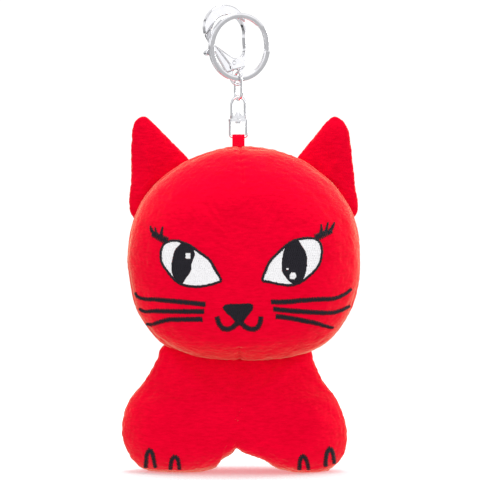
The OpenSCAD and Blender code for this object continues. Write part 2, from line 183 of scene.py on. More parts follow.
class Nodes:
    """Short ways to fill an empty node tree."""

    def __init__(self, tree):
        self.tree = tree
        tree.nodes.clear()

    def add(self, kind, **values):
        """A new node. Each value goes to the property of its name, or else to the input."""
        node = self.tree.nodes.new(kind)
        for key, value in values.items():
            if hasattr(node, key):
                setattr(node, key, value)
            else:
                node.inputs[key.replace("_", " ").title()].default_value = value
        return node

    def link(self, a, out_name, b, in_name):
        self.tree.links.new(a.outputs[out_name], b.inputs[in_name])

    def ramp(self, source, out_name, stops):
        ramp = self.add("ShaderNodeValToRGB")
        ramp.color_ramp.elements[0].position, ramp.color_ramp.elements[0].color = stops[0]
        ramp.color_ramp.elements[1].position, ramp.color_ramp.elements[1].color = stops[-1]
        for position, color in stops[1:-1]:
            ramp.color_ramp.elements.new(position).color = color
        self.link(source, out_name, ramp, "Fac")
        return ramp


class Finish(Nodes):
    """The nodes of one material, round its Principled shader."""

    def __init__(self, name):
        self.material = bpy.data.materials.new(name)
        self.material.use_nodes = True
        super().__init__(self.material.node_tree)
        output = self.add("ShaderNodeOutputMaterial")
        self.shader = self.add("ShaderNodeBsdfPrincipled")
        self.link(self.shader, "BSDF", output, "Surface")
        self.coordinates = self.add("ShaderNodeTexCoord")

    def set(self, **values):
        """Values of the shader that are the same all over."""
        for key, value in values.items():
            name = key.replace("_", " ").title().replace("Ior", "IOR")
            self.shader.inputs[name].default_value = value

    def mapped(self, scale, turn=(0, 0, 0)):
        """The piece's own coordinates, in metres, scaled and turned."""
        mapping = self.add("ShaderNodeMapping")
        mapping.inputs["Scale"].default_value = scale
        mapping.inputs["Rotation"].default_value = turn
        self.link(self.coordinates, "Object", mapping, "Vector")
        return mapping

    def noise(self, scale, detail=3, roughness=0.55, stretch=(1, 1, 1), turn=(0, 0, 0)):
        texture = self.add("ShaderNodeTexNoise", scale=scale, detail=detail, roughness=roughness)
        self.link(self.mapped(stretch, turn), "Vector", texture, "Vector")
        return texture

    def spread(self, source, low, high):
        """A noise's usual 0.3 to 0.7 spread over low to high."""
        reach = self.add("ShaderNodeMapRange", from_min=0.3, from_max=0.7, to_min=low, to_max=high)
        self.link(source, "Fac", reach, "Value")
        return reach

    def bump(self, source, out_name, strength, distance, after=None):
        """Relief of that many metres, laid over the bump node in after."""
        bump = self.add("ShaderNodeBump", strength=strength, distance=distance)
        self.link(source, out_name, bump, "Height")
        if after:
            self.link(after, "Normal", bump, "Normal")
        return bump


def plush_material(name, light, dark, nap_turn=0.0):
    """Short brushed pile: fine lying streaks, soft patches where it was stroked, and a light rim."""
    n = Finish(name)
    n.set(roughness=0.9, specular_ior_level=0, sheen_weight=1.0, sheen_roughness=0.29,
          sheen_tint=(1, 0.68, 0.42, 1))
    streaks = n.noise(1, 4, 0.62, stretch=(280, 280, 1050), turn=(0, nap_turn, 0))
    patches = n.noise(46, 3, 0.5, stretch=(1, 1, 1.6))
    pile = n.noise(2600, 2, 0.6)
    both = n.add("ShaderNodeMix", data_type="FLOAT", factor=0.25)
    n.link(streaks, "Fac", both, "A")
    n.link(patches, "Fac", both, "B")
    lightest = [min(1, c * 1.12) for c in light]
    colours = n.ramp(both, "Result", [(0.36, dark), (0.52, light), (0.68, lightest)])
    n.link(colours, "Color", n.shader, "Base Color")
    rough = n.bump(pile, "Fac", 0.5, 0.00025)
    lying = n.bump(streaks, "Fac", 0.45, 0.0004, after=rough)
    n.link(lying, "Normal", n.shader, "Normal")
    return n.material


def thread_material(name, colour, sheen):
    """Twisted embroidery thread with a soft shine."""
    n = Finish(name)
    n.set(roughness=0.6, specular_ior_level=0.25, sheen_weight=sheen, sheen_roughness=0.4)
    fibres = n.noise(1, 3, 0.6, stretch=(5200, 5200, 2400))
    dark = [c * 0.8 for c in colour[:3]] + [1]
    colours = n.ramp(fibres, "Fac", [(0.35, dark), (0.6, colour)])
    n.link(colours, "Color", n.shader, "Base Color")
    n.link(n.bump(fibres, "Fac", 0.5, 0.00012), "Normal", n.shader, "Normal")
    return n.material


def ribbon_material():
    """Woven satin tape: fine ribs across it, finer ones along it, with painted shade between the threads."""
    n = Finish("ribbon_weave")
    n.set(roughness=0.5, specular_ior_level=0.04, sheen_weight=0.02, sheen_roughness=0.3,
          sheen_tint=(1, 0.2, 0.2, 1))
    ribs = n.add("ShaderNodeTexWave", bands_direction="Z", wave_profile="SIN", scale=1,
                 distortion=0.6)
    n.link(n.mapped((900, 900, 900)), "Vector", ribs, "Vector")
    warp = n.add("ShaderNodeTexWave", bands_direction="X", wave_profile="SIN", scale=1)
    n.link(n.mapped((1200, 1200, 1200)), "Vector", warp, "Vector")
    weave = n.add("ShaderNodeMath", operation="MULTIPLY")
    n.link(ribs, "Fac", weave, 0)
    n.link(warp, "Fac", weave, 1)
    # painted shade: the tape's red is darker where the weave dips between the threads
    colours = n.ramp(weave, "Value", [(0, (0.93, 0.0004, 0.03, 1)), (0.3, (1, 0.0008, 0.037, 1))])
    n.link(colours, "Color", n.shader, "Base Color")
    n.link(n.bump(weave, "Value", 0.4, 0.00012), "Normal", n.shader, "Normal")
    return n.material


def metal_material(name, colour, roughness, scratch_turn=0.0):
    """Bright plated metal with faint wear: cloudy roughness and hair-fine scratches."""
    n = Finish(name)
    n.set(metallic=1)
    clouds = n.noise(420, 4, 0.6)
    scratches = n.noise(1, 3, 0.7, stretch=(6500, 6500, 240), turn=(0.5, scratch_turn, 0.3))
    colours = n.ramp(clouds, "Fac", [(0.3, [c * 0.93 for c in colour[:3]] + [1]), (0.65, colour)])
    n.link(colours, "Color", n.shader, "Base Color")
    n.link(n.spread(clouds, roughness * 0.5, roughness * 1.6), "Result", n.shader, "Roughness")
    n.link(n.bump(scratches, "Fac", 0.06, 0.00003), "Normal", n.shader, "Normal")
    return n.material


RED = (0.84, 0.0006, 0.0245, 1)
RED_SHADE = (0.74, 0.0005, 0.019, 1)
# painted shade: the ears' reds are darker copies of the plush reds, though they are the same fabric
SHADED_EAR_RED = (0.8, 0.0008, 0.022, 1)
SHADED_EAR_RED_DARK = (0.67, 0.0005, 0.017, 1)
plush = plush_material("plush_pile", RED, RED_SHADE)
shaded_ear_plush = plush_material("ear_pile_shaded", SHADED_EAR_RED, SHADED_EAR_RED_DARK, nap_turn=0.5)
black_thread = thread_material("black_embroidery", (0.015, 0.013, 0.02, 1), sheen=0.0)
white_thread = thread_material("white_embroidery", (1, 0.99, 1, 1), sheen=0.03)
ribbon_weave = ribbon_material()
chrome = metal_material("chrome_plate", (0.9, 0.9, 0.91, 1), roughness=0.07)
# painted shade: the lever's plate is a slightly darker copy of the chrome on the rest of the clasp
shaded_chrome_lever = metal_material("chrome_lever_shaded_plate", (0.86, 0.86, 0.87, 1), roughness=0.1,
                              scratch_turn=0.8)
spring_steel = metal_material("spring_steel", (0.6, 0.6, 0.62, 1), roughness=0.22)

# ---- stuffed shapes ----

OUTLINE_STEPS = 16
FAR = 99.0  # farther from a seam than its groove reaches
PILE = 0.2  # how rough the pile makes the surface

HEAD_CENTRE = np.array([1.3, 95.0])
HEAD_HALF_DEPTH = 37.0
HEAD_FULLNESS = 2.15
HEAD_SEAM_Y = 4.0
HEAD_RIM_R = 36  # the side seam lies outside this
FOREHEAD_DART = [(-0.6, 143.5), (0.1, 136), (0.9, 129.4)]
CHIN_DART = [(-0.8, 55.5), (-0.6, 51), (-0.6, 46.5)]
HEAD_POINTS = HEAD_CENTRE + np.array([
    [0, 48.4], [14, 46.4], [27.5, 41], [40, 31], [48.3, 16.5], [51.3, 0], [49.5, -16],
    [44.5, -28], [35.5, -38.3], [20, -44.8], [0, -46.6], [-20, -44.8], [-35.5, -38.3],
    [-44.5, -28], [-49.5, -16], [-51.3, 0], [-48.3, 16.5], [-40, 31], [-27.5, 41], [-14, 46.4]])

BODY_CENTRE = np.array([-2.5, 26.0])
BODY_HALF_DEPTH = 26.0
BODY_FULLNESS = 2.1
BODY_MID_X = -1.8
BODY_LEG_FULLNESS = 6
LEG_GAP_X, LEG_GAP_TOP = (-14, 19), 12  # the outline's points in here make the gap
SOLE_Z = -1.6
SOLE_SOFTNESS = 0.3
NECK_SLIM = 0.5  # the share of its depth that the body loses, from NECK_FROM up
NECK_FROM, NECK_OVER = 30, 26
BODY_POINTS = [
    [-1.8, 11.3], [-4.4, 9], [-8.2, 6.4], [-13, 1.4], [-28, -1.8], [-43, 1.2], [-50.5, 9],
    [-52.8, 20], [-49.5, 31], [-42.5, 40.5], [-37.6, 49], [-32, 57], [-2, 60], [27, 57],
    [32.5, 48], [36, 40.5], [42.5, 31], [46.5, 20], [46, 9], [40.5, 1.8], [31, -1.8],
    [18, 1.4], [9.2, 6.2], [1.8, 9.4]]

EAR_Y = 3.0
EAR_HALF_DEPTH = 4.5
EAR_FULLNESS = 2.3
LEFT_EAR_CENTRE = np.array([-38.0, 131.0])
LEFT_EAR_POINTS = [
    [-48.3, 113], [-48.6, 130], [-48.4, 145], [-47.6, 152.5], [-44, 156.3], [-40, 154.8],
    [-32, 147], [-22.5, 137], [-19, 130], [-24, 118], [-36, 108]]
RIGHT_EAR_CENTRE = np.array([38.5, 131.0])
RIGHT_EAR_POINTS = [
    [38, 108], [25, 118], [20, 130], [23.5, 137], [31.5, 147], [38.2, 154.8],
    [42, 156.3], [46.2, 152.5], [48.2, 145], [50.2, 128], [50.6, 113]]


def swell(rho, fullness):
    """How far a stuffed form bulges, from 1 in its middle to 0 on its rim at rho = 1."""
    return np.maximum(0, 1 - rho ** fullness) ** (1 / fullness)


def pillow_points(points, centre, half_depth, fullness, around, rings, y=0.0):
    """Rings of points over a stuffed shape, from the middle of its front to that of its back."""
    outline = even_steps(smooth_curve(points, OUTLINE_STEPS, closed=True), around, closed=True)
    a, b = outline[0] - centre, outline[1] - centre
    if a[0] * b[1] < a[1] * b[0]:
        outline = outline[::-1]
    rhos = np.sin(np.pi / 2 * np.arange(1, rings + 1) / rings) ** (2 / fullness)
    front = [np.column_stack([centre[0] + (outline[:, 0] - centre[0]) * r,
                              np.full(around, y - half_depth * swell(r, fullness)),
                              centre[1] + (outline[:, 1] - centre[1]) * r]) for r in rhos]
    back = [np.column_stack([f[:, 0], 2 * y - f[:, 1], f[:, 2]]) for f in front[-2::-1]]
    first = [[centre[0], y - half_depth, centre[1]]]
    last = [[centre[0], y + half_depth, centre[1]]]
    return np.vstack([first] + front + back + [last])


def pillow_faces(around, rings):
    """The faces over those points: quads between the rings and triangles round both poles."""
    bands = 2 * rings - 1
    faces = [(0, 1 + j, 1 + (j + 1) % around) for j in range(around)]
    faces += [tuple(1 + v for v in f) for f in grid_faces(bands, around, flip=True)]
    last = 1 + (bands - 1) * around
    faces += [(bands * around + 1, last + (j + 1) % around, last + j) for j in range(around)]
    return faces


def vertex_normals(points, faces):
    """The direction straight out of the surface at each point."""
    mesh = bpy.data.meshes.new("scratch")
    mesh.from_pydata(points.tolist(), [], faces)
    mesh.update()
    normals = np.zeros(len(points) * 3, np.float32)
    mesh.vertices.foreach_get("normal", normals)
    bpy.data.meshes.remove(mesh)
    return normals.reshape(-1, 3).astype(float)


def lumps(points, size, seed):
    """Soft unevenness, from -1 to 1, in lumps of that size in millimetres."""
    shift = Vector((seed, seed * 1.7, seed * 0.6))
    return np.array([noise.noise(Vector(p) / size + shift) for p in points])


def uneven(points, layers):
    """The stuffing's lumps and the pile's roughness, from layers of height, size and seed."""
    return sum(height * lumps(points, size, seed) for height, size, seed in layers)


def along_rim(points, centre, radius):
    """How far round the piece each point is, in millimetres on a circle of that radius."""
    return np.arctan2(points[:, 2] - centre[1], points[:, 0] - centre[0]) * radius


def seam_distance(points, line):
    """How far each point is from a seam drawn in X and Z."""
    p = points[:, [0, 2]]
    best = np.full(len(p), 1e9)
    for a, b in zip(line[:-1], line[1:]):
        a, b = np.array(a, float), np.array(b, float)
        t = np.clip(((p - a) @ (b - a)) / ((b - a) @ (b - a)), 0, 1)
        best = np.minimum(best, np.linalg.norm(p - (a + t[:, None] * (b - a)), axis=1))
    return best


def groove(distance, along, depth, width, pucker, pitch):
    """The dip of a sewn seam, with the small puckers that the thread pulls on both sides of it."""
    dip = -depth * np.exp(-(distance / width) ** 2)
    ripple = np.sin(along * 2 * np.pi / pitch + 1.3 * np.sin(along / pitch))
    beside, fade = 1.6 * width, 2.2 * width
    return dip + pucker * ripple * np.exp(-((distance - beside) / fade) ** 2)


def reach_of(outline, centre, d):
    """How far a smooth outline lies from its centre in the directions d."""
    spokes = outline - centre
    angles = np.arctan2(spokes[:, 1], spokes[:, 0])
    order = np.argsort(angles)
    return np.interp(np.arctan2(d[:, 1], d[:, 0]), angles[order],
                     np.linalg.norm(spokes, axis=1)[order], period=2 * np.pi)


def head_level(points):
    """1 on the head's skin, less inside it, more outside."""
    d = points[:, [0, 2]] - HEAD_CENTRE
    reach = reach_of(smooth_curve(HEAD_POINTS, OUTLINE_STEPS, closed=True), HEAD_CENTRE, d)
    flat = (np.linalg.norm(d, axis=1) / reach) ** HEAD_FULLNESS
    deep = (np.abs(points[:, 1]) / HEAD_HALF_DEPTH) ** HEAD_FULLNESS
    return (flat + deep) ** (1 / HEAD_FULLNESS)


def tuck_under_head(points, level=0.985):
    """Brings the points that would be inside the head to just under its skin, where they are sewn."""
    inside = head_level(points)
    middle = np.array([HEAD_CENTRE[0], 0, HEAD_CENTRE[1]])
    scale = np.where(inside < level, level / np.maximum(inside, 0.2), 1)
    return middle + (points - middle) * scale[:, None]


def fine(full):
    return full


def between(grid, step, closed):
    """The rows of a grid with step - 1 more between each two, on smooth curves."""
    count = len(grid)
    total = count * step if closed else (count - 1) * step + 1
    at = np.arange(total) / step
    low = np.minimum(at.astype(int), count - (1 if closed else 2))
    t = (at - low).reshape((-1,) + (1,) * (grid.ndim - 1))
    pick = [(low + k) % count if closed else np.clip(low + k, 0, count - 1) for k in (-1, 0, 1, 2)]
    a, b, c, d = (grid[i] for i in pick)
    return catmull_rom(a, b, c, d, t)


def blurred(grid, rounds):
    """The grid smoothed along its rows, which close on themselves, and along its columns."""
    for _ in range(rounds):
        grid = (np.roll(grid, 1, 1) + np.roll(grid, -1, 1) + 2 * grid) / 4
        more = np.concatenate([grid[:1], grid, grid[-1:]])
        grid = (more[:-2] + more[2:] + 2 * grid) / 4
    return grid


def as_grid(points, around):
    """The points of a pillow as a grid, where the first and last row repeat one pole."""
    return np.concatenate([[np.repeat(points[:1], around, 0)], points[1:-1].reshape(-1, around, 3),
                           [np.repeat(points[-1:], around, 0)]])


def as_points(grid):
    """The same the other way round."""
    return np.vstack([grid[0, :1], grid[1:-1].reshape(-1, 3), grid[-1, :1]])


def settle(points, around, rings, held, puff, crease,
           pressure=1.5, spare=0.02, step=4, frames=20, blur_rounds=8):
    """How far each point of a stuffed shape moves when its cloth, cut a little too large, is blown up
    between the points that are held. The cloth is a coarse copy, simulated. Its bulge is scaled to
    puff mm at most, and its creases are capped at crease mm."""
    coarse = as_points(as_grid(points, around)[::step, ::step])
    obj = add_mesh("settling", coarse, pillow_faces(around // step, rings // step), plush)
    group = obj.vertex_groups.new(name="held")
    group.add([int(i) for i in np.flatnonzero(held(coarse))], 1.0, "REPLACE")
    cloth = obj.modifiers.new("cloth", "CLOTH").settings
    cloth.vertex_group_mass = "held"
    cloth.use_pressure = True
    cloth.uniform_pressure_force = pressure
    cloth.effector_weights.gravity = 0
    cloth.shrink_min = -spare
    for frame_number in range(1, frames + 1):
        bpy.context.scene.frame_set(frame_number)
    result = obj.evaluated_get(bpy.context.evaluated_depsgraph_get()).to_mesh()
    after = np.zeros(len(coarse) * 3, np.float32)
    result.vertices.foreach_get("co", after)
    moved = after.reshape(-1, 3) / MM - coarse
    mesh = obj.data
    bpy.data.objects.remove(obj)
    bpy.data.meshes.remove(mesh)
    bpy.context.scene.frame_set(1)
    grid = as_grid(moved, around // step)
    bulge = blurred(grid, blur_rounds)
    waves = grid - bulge
    height = np.linalg.norm(waves, axis=2, keepdims=True)
    grid = bulge * puff / np.linalg.norm(bulge, axis=2).max() \
        + waves * crease * np.tanh(height / crease / 2) / np.maximum(height, 1e-6)
    grid = between(grid, step, closed=False)
    return as_points(np.swapaxes(between(np.swapaxes(grid, 0, 1), step, closed=True), 0, 1))


def make_head():
    """A round pillow with a side seam, a dart at the forehead and the chin, and a seam behind."""
    around, rings = fine(384), fine(84)
    points = pillow_points(HEAD_POINTS, HEAD_CENTRE, HEAD_HALF_DEPTH, HEAD_FULLNESS, around, rings)
    faces = pillow_faces(around, rings)
    points = points + settle(points, around, rings,
                             held=lambda p: np.abs(p[:, 1]) < 3, puff=1.0, crease=0.35)
    normals = vertex_normals(points, faces)
    lift = uneven(points, [(0.55, 24, 3.1), (0.22, 9, 8.4), (PILE, 1.3, 6.6)])
    on_rim = np.hypot(points[:, 0] - HEAD_CENTRE[0], points[:, 2] - HEAD_CENTRE[1]) > HEAD_RIM_R
    to_side = np.where(on_rim, np.abs(points[:, 1] - HEAD_SEAM_Y), FAR)
    lift += groove(to_side, along_rim(points, HEAD_CENTRE, 50),
                   depth=0.7, width=0.9, pucker=0.08, pitch=4.3)
    for line, depth in ((FOREHEAD_DART, 0.75), (CHIN_DART, 0.8)):
        to_dart = np.where(points[:, 1] < HEAD_SEAM_Y, seam_distance(points, line), FAR)
        lift += groove(to_dart, points[:, 2], depth, width=0.8, pucker=0.1, pitch=3.1)
    to_back = np.where(points[:, 1] > HEAD_SEAM_Y, np.abs(points[:, 0] - HEAD_CENTRE[0]), FAR)
    lift += groove(to_back, points[:, 2], depth=0.65, width=0.9, pucker=0.14, pitch=4.1)
    head = add_mesh("head", points + normals * lift[:, None], faces, plush)
    place(head, "plush", "plush_fabric", "head_front_panel", "head_back_panel", "head_stuffing")
    return head


def fill_body(points):
    """Rounds the body's front and back as one form over both legs and the gap between them, which
    drops off steeply at the gap and gets slimmer towards the neck."""
    gap_left, gap_right = LEG_GAP_X
    hips = [[x, min(z, SOLE_Z)] if gap_left < x < gap_right and z < LEG_GAP_TOP else [x, z]
            for x, z in BODY_POINTS]
    d = points[:, [0, 2]] - BODY_CENTRE
    r = np.linalg.norm(d, axis=1)

    def swell_in(outline, fullness):
        reach = reach_of(smooth_curve(outline, OUTLINE_STEPS, closed=True), BODY_CENTRE, d)
        return swell(np.clip(r / reach, 0, 1), fullness)

    up = np.clip((points[:, 2] - NECK_FROM) / NECK_OVER, 0, 1)
    slim = 1 - NECK_SLIM * up * up * (3 - 2 * up)
    depth = BODY_HALF_DEPTH * swell_in(hips, BODY_FULLNESS) \
        * swell_in(BODY_POINTS, BODY_LEG_FULLNESS) * slim
    return np.column_stack([points[:, 0], np.sign(points[:, 1]) * depth, points[:, 2]])


def make_body():
    """Both legs and the neck as one pillow with a seam on its rim and down its middle."""
    around, rings = fine(384), fine(72)
    points = pillow_points(BODY_POINTS, BODY_CENTRE, BODY_HALF_DEPTH, BODY_FULLNESS, around, rings)
    faces = pillow_faces(around, rings)
    points = fill_body(points)
    points = points + settle(points, around, rings,
                             held=lambda p: (np.abs(p[:, 1]) < 2.5) | (p[:, 2] < 1.5),
                             puff=0.8, crease=0.3)
    normals = vertex_normals(points, faces)
    lift = uneven(points, [(0.5, 20, 5.2), (0.2, 8, 1.9), (PILE, 1.3, 2.7)])
    off_middle = np.abs(points[:, 1])
    to_rim = np.where(off_middle < 12, off_middle, FAR)
    lift += groove(to_rim, along_rim(points, BODY_CENTRE, 45),
                   depth=0.45, width=0.9, pucker=0.07, pitch=4.1)
    to_seam = np.abs(points[:, 0] - BODY_MID_X)
    lift += groove(to_seam, points[:, 2], depth=0.25, width=1.0, pucker=0.06, pitch=3.7)
    points = points + normals * lift[:, None]
    # what would be under the floor is pressed flat on it
    points[:, 2] = (points[:, 2] + np.sqrt(points[:, 2] ** 2 + SOLE_SOFTNESS)) / 2
    body = add_mesh("body", tuck_under_head(points), faces, plush)
    place(body, "plush", "plush_fabric", "body_front_left_panel", "body_front_right_panel",
          "body_back_left_panel", "body_back_right_panel", "body_stuffing")
    return body


def make_ear(side, outline, centre):
    """A thin pillow whose lower edge goes under the head's skin."""
    around, rings = fine(240), fine(32)
    points = pillow_points(outline, centre, EAR_HALF_DEPTH, EAR_FULLNESS, around, rings, EAR_Y)
    faces = pillow_faces(around, rings)
    points = points + settle(points, around, rings,
                             held=lambda p: np.abs(p[:, 1] - EAR_Y) < 0.8, puff=0.5, crease=0.2)
    normals = vertex_normals(points, faces)
    lift = uneven(points, [(0.3, 11, centre[0]), (PILE, 1.1, 4.4)])
    off_middle = np.abs(points[:, 1] - EAR_Y)
    to_rim = np.where(off_middle < 2.4, off_middle, FAR)
    lift += groove(to_rim, along_rim(points, centre, 18),
                   depth=0.3, width=0.5, pucker=0.05, pitch=3.3)
    points = tuck_under_head(points + normals * lift[:, None], level=0.99)
    ear = add_mesh(f"{side}_ear", points, faces, shaded_ear_plush)
    place(ear, "plush", "plush_fabric",
          *(f"{side}_ear_{part}" for part in ("front_panel", "back_panel", "filling")))


head = make_head()
body = make_body()
make_ear("left", LEFT_EAR_POINTS, LEFT_EAR_CENTRE)
make_ear("right", RIGHT_EAR_POINTS, RIGHT_EAR_CENTRE)

# ---- embroidery ----

THREAD_R = 0.23
THREAD_SIDES = 5
THREAD_STEP = 0.55  # from point to point along a long stitch
THREAD_SINK = 0.05  # how far the ends of a stitch go into the fabric
ROW_DRIFT = 0.03  # how far a stitch lies beside its row
STITCH_OVERRUN = (-0.12, 0.16)  # how far a satin stitch passes its edge, or stops short of it
AREA_STEPS = 6
EYE_INSET, EYE_OUTLINE = 0.6, 1.35
LASH_WIDER, LASH_TIP_WIDER = 1.3, 1.4
NOSE_INSET, NOSE_OUTLINE = 0.4, 1
STROKE_TAPER = 4


class Needle:
    """Lays threads on the front of a stuffed piece and gathers them into one mesh."""

    def __init__(self, base, seed):
        self.tree = BVHTree.FromObject(base, bpy.context.evaluated_depsgraph_get())
        self.random = np.random.default_rng(seed)
        self.verts, self.faces = [], []

    def surface(self, x, z):
        """The point that is seen from the front at x and z of the plane y = 0."""
        eye = Vector(front_eye * MM)
        aim = Vector((x * MM, 0, z * MM))
        hit, normal, _, _ = self.tree.ray_cast(eye, (aim - eye).normalized())
        if hit is None:
            return None
        normal = Vector(normal)
        return np.array(hit) / MM, np.array(-normal if normal.y > 0 else normal)

    def thread(self, path, rise, radius=THREAD_R):
        """One stitch along points in X and Z. It lies highest in its middle and dips at its ends."""
        count = len(path)
        spots = [self.surface(x, z) for x, z in path]
        if any(s is None for s in spots):
            return
        centre = np.array([s[0] for s in spots])
        normal = np.array([s[1] for s in spots])
        t = np.linspace(0, 1, count)
        bow = np.sqrt(np.clip(4 * t * (1 - t), 0, 1))
        along = np.gradient(centre, axis=0)
        along /= np.linalg.norm(along, axis=1)[:, None] + 1e-9
        side = np.cross(along, normal)
        side /= np.linalg.norm(side, axis=1)[:, None] + 1e-9
        base = centre + normal * (rise * bow - THREAD_SINK)[:, None]
        girth = radius * (0.72 + 0.28 * bow)  # thinner at its ends
        start = len(self.verts)
        for i in range(count):
            for k in range(THREAD_SIDES):
                a = math.pi * k / (THREAD_SIDES - 1)
                self.verts.append(base[i] + side[i] * math.cos(a) * girth[i]
                                  + normal[i] * math.sin(a) * girth[i] * 0.9)
        self.faces += [tuple(start + v for v in f) for f in tube_faces(count, THREAD_SIDES)]

    def satin(self, points, width, end_width=None, closed=False,
              rise=0.3, pitch=0.36, slant=0.25, taper=1.6):
        """A stroke of close stitches laid across a curve. A high taper keeps it wide for longer."""
        curve = smooth_curve(points, 12, closed)
        if closed:
            curve = np.vstack([curve, curve[:1]])
        steps = max(int(curve_length(curve) / pitch), 2)
        curve = even_steps(curve, steps)
        ahead = np.gradient(curve, axis=0)
        ahead /= np.linalg.norm(ahead, axis=1)[:, None] + 1e-9
        across = np.column_stack([-ahead[:, 1], ahead[:, 0]])
        end_width = width if end_width is None else end_width
        for i in range(steps):
            s = i / (steps - 1)
            half = (width + (end_width - width) * s ** taper) / 2
            left, right = half + self.random.uniform(*STITCH_OVERRUN, 2)
            lean = ahead[i] * slant * (1 if i % 2 else -1) * 0.5
            a, b = curve[i] + across[i] * left + lean, curve[i] - across[i] * right - lean
            count = 5 if half < 1.2 else 7
            self.thread([a + (b - a) * t for t in np.linspace(0, 1, count)], rise)

    def rows(self, inside, cut=(), rise=0.14, pitch=0.3, stitch=3.4, jitter=0.08, shortest=0.8):
        """Fills an area with upright rows of stitches, leaving out the areas in cut."""
        inside = np.asarray(inside)
        x = inside[:, 0].min() + pitch / 2
        row = 0
        while x < inside[:, 0].max():
            spans = crossings(inside, x)
            for area in cut:
                spans = less(spans, crossings(np.asarray(area), x))
            for low, high in spans:
                low += self.random.uniform(-jitter, jitter)
                high += self.random.uniform(-jitter, jitter)
                first = math.floor(low / stitch) * stitch + (row % 3) * stitch / 3
                stops = [low] + [z for z in np.arange(first, high, stitch)
                                 if low + shortest < z < high - shortest] + [high]
                for a, b in zip(stops[:-1], stops[1:]):
                    count = max(3, int((b - a) / THREAD_STEP) + 1)
                    drift = self.random.uniform(-ROW_DRIFT, ROW_DRIFT)
                    self.thread([(x + drift, z) for z in np.linspace(a, b, count)], rise)
            x += pitch
            row += 1

    def finish(self, name, material, slot, *nodes):
        place(add_mesh(name, self.verts, self.faces, material), "plush", slot, *nodes)


def crossings(outline, x):
    """The stretches of Z where the upright line at x is inside a closed outline."""
    hits = []
    for a, b in zip(outline, np.roll(outline, -1, axis=0)):
        if (a[0] <= x) != (b[0] <= x):
            hits.append(a[1] + (b[1] - a[1]) * (x - a[0]) / (b[0] - a[0]))
    hits.sort()
    return list(zip(hits[::2], hits[1::2]))


def less(spans, cuts, shortest=0.3):
    """The stretches without the parts in cuts, where anything shorter than that is dropped."""
    for c, d in cuts:
        parts = [part for a, b in spans for part in ((a, min(b, c)), (max(a, d), b))]
        spans = [part for part in parts if part[1] - part[0] > shortest]
    return spans


LEFT_EYE = [
    (-8.4, 84.2), (-10.8, 88.9), (-13.2, 93.1), (-16.3, 95.9), (-19.4, 98.1), (-22.5, 100.2),
    (-25.6, 101.4),
    (-28.4, 102.3), (-31.4, 102.1), (-34.2, 100.7), (-35.6, 97.7), (-35.8, 94.2), (-35.1, 91.5),
    (-33.3, 88.7),
    (-30.7, 85.3), (-27.7, 82.7), (-25, 81.7), (-21.6, 81.1), (-18.1, 81.1), (-13.7, 81.9),
    (-10.4, 83.1)]
LEFT_PUPIL = [
    (-21.4, 99.6), (-20.4, 95.6), (-21.2, 93.3), (-21.9, 91), (-21.7, 89.6), (-22.9, 87.1),
    (-24.2, 85.4),
    (-25.6, 83.2), (-27, 82.6), (-29.5, 85.6), (-30.4, 88), (-30.6, 91.1), (-30, 94.6), (-29.1, 97.7),
    (-26.9, 100.1), (-25.8, 101.2)]
LEFT_HIGHLIGHT = [(-24.4, 93.9), (-24.4, 96.4), (-22.2, 96.4), (-22.2, 93.9)]
RIGHT_EYE = [
    (9, 84.2), (10.2, 88.4), (11.9, 92.3), (14.5, 95.4), (17.6, 98.5), (20.7, 101), (23.8, 102.6),
    (27.2, 103.3), (30.3, 103.4), (33, 103), (35.1, 101.1), (35.9, 98.1), (35.8, 95), (35.1, 92),
    (33.3, 89),
    (30.7, 86.3), (28, 84.1), (25, 82.4), (22, 81.6), (18.4, 81.9), (14.9, 82.6), (11.8, 83.4)]
RIGHT_PUPIL = [
    (24.6, 102.2), (26.8, 99.4), (28.3, 96.8), (29, 93.7), (28.8, 90.2), (28.1, 86.7), (26.4, 83.4),
    (23.6, 82.5), (21.1, 84), (18.9, 86.7), (18, 88.4), (17.8, 91.5), (18.2, 95), (18.9, 97.7),
    (20.8, 100.6)]
RIGHT_HIGHLIGHTS = [
    [(21.5, 85), (21.4, 86.8), (22.1, 87.9), (23.9, 87.7), (24.1, 85.6), (23.3, 84.8)],
    [(19.9, 88.9), (19.9, 89.8), (20.9, 89.8), (20.9, 88.9)]]
NOSE = [
    (-7.6, 73), (-5.3, 73.7), (-0.8, 73.9), (3.9, 73.9), (5.2, 73.2), (4.9, 71.6), (3.4, 69.5),
    (1.7, 67.3),
    (0.6, 65.9), (-0.7, 65.2), (-2.7, 66.4), (-4.4, 68.2), (-6.6, 70.4), (-7.9, 72)]
MOUTH = [
    [(-0.8, 66), (-1.9, 65.2), (-3.6, 63.7), (-5.9, 62.8), (-8.3, 63.4), (-9.9, 65.6), (-10.6, 68.2)],
    [(-0.6, 66), (0.2, 65.4), (1.8, 63.8), (4, 62.8), (6.5, 63), (8.2, 65.1), (8.8, 68.2)]]
LEFT_WHISKERS = [
    [(-15.9, 73.7), (-22.5, 74.4), (-30.4, 75.2), (-37.9, 75.9), (-42.3, 76.1), (-45.4, 77),
    (-46.5, 78.8)],
    [(-16.5, 70.6), (-26.9, 70.6), (-37.9, 70.8), (-42.3, 70.6), (-44.7, 71.7)],
    [(-17.2, 67.1), (-26.9, 67.1), (-32.2, 66.9), (-35.7, 66), (-39.2, 64.9), (-41.6, 65.1)]]
RIGHT_WHISKERS = [
    [(13.4, 74.8), (19.3, 74.8), (32.5, 75.9), (39.1, 76.1), (42.6, 76.8), (45.7, 78.3),
     (48.4, 80.4)],
    [(14.3, 71.7), (19.3, 71.1), (32.5, 70.2), (39.1, 70), (42.6, 70.6), (45.3, 71.7), (47.7, 73)],
    [(15.4, 68.4), (19.3, 68), (23.7, 67.3), (28.1, 66.4), (32.5, 65.6), (36.9, 64.2), (40.4, 63.4)]]
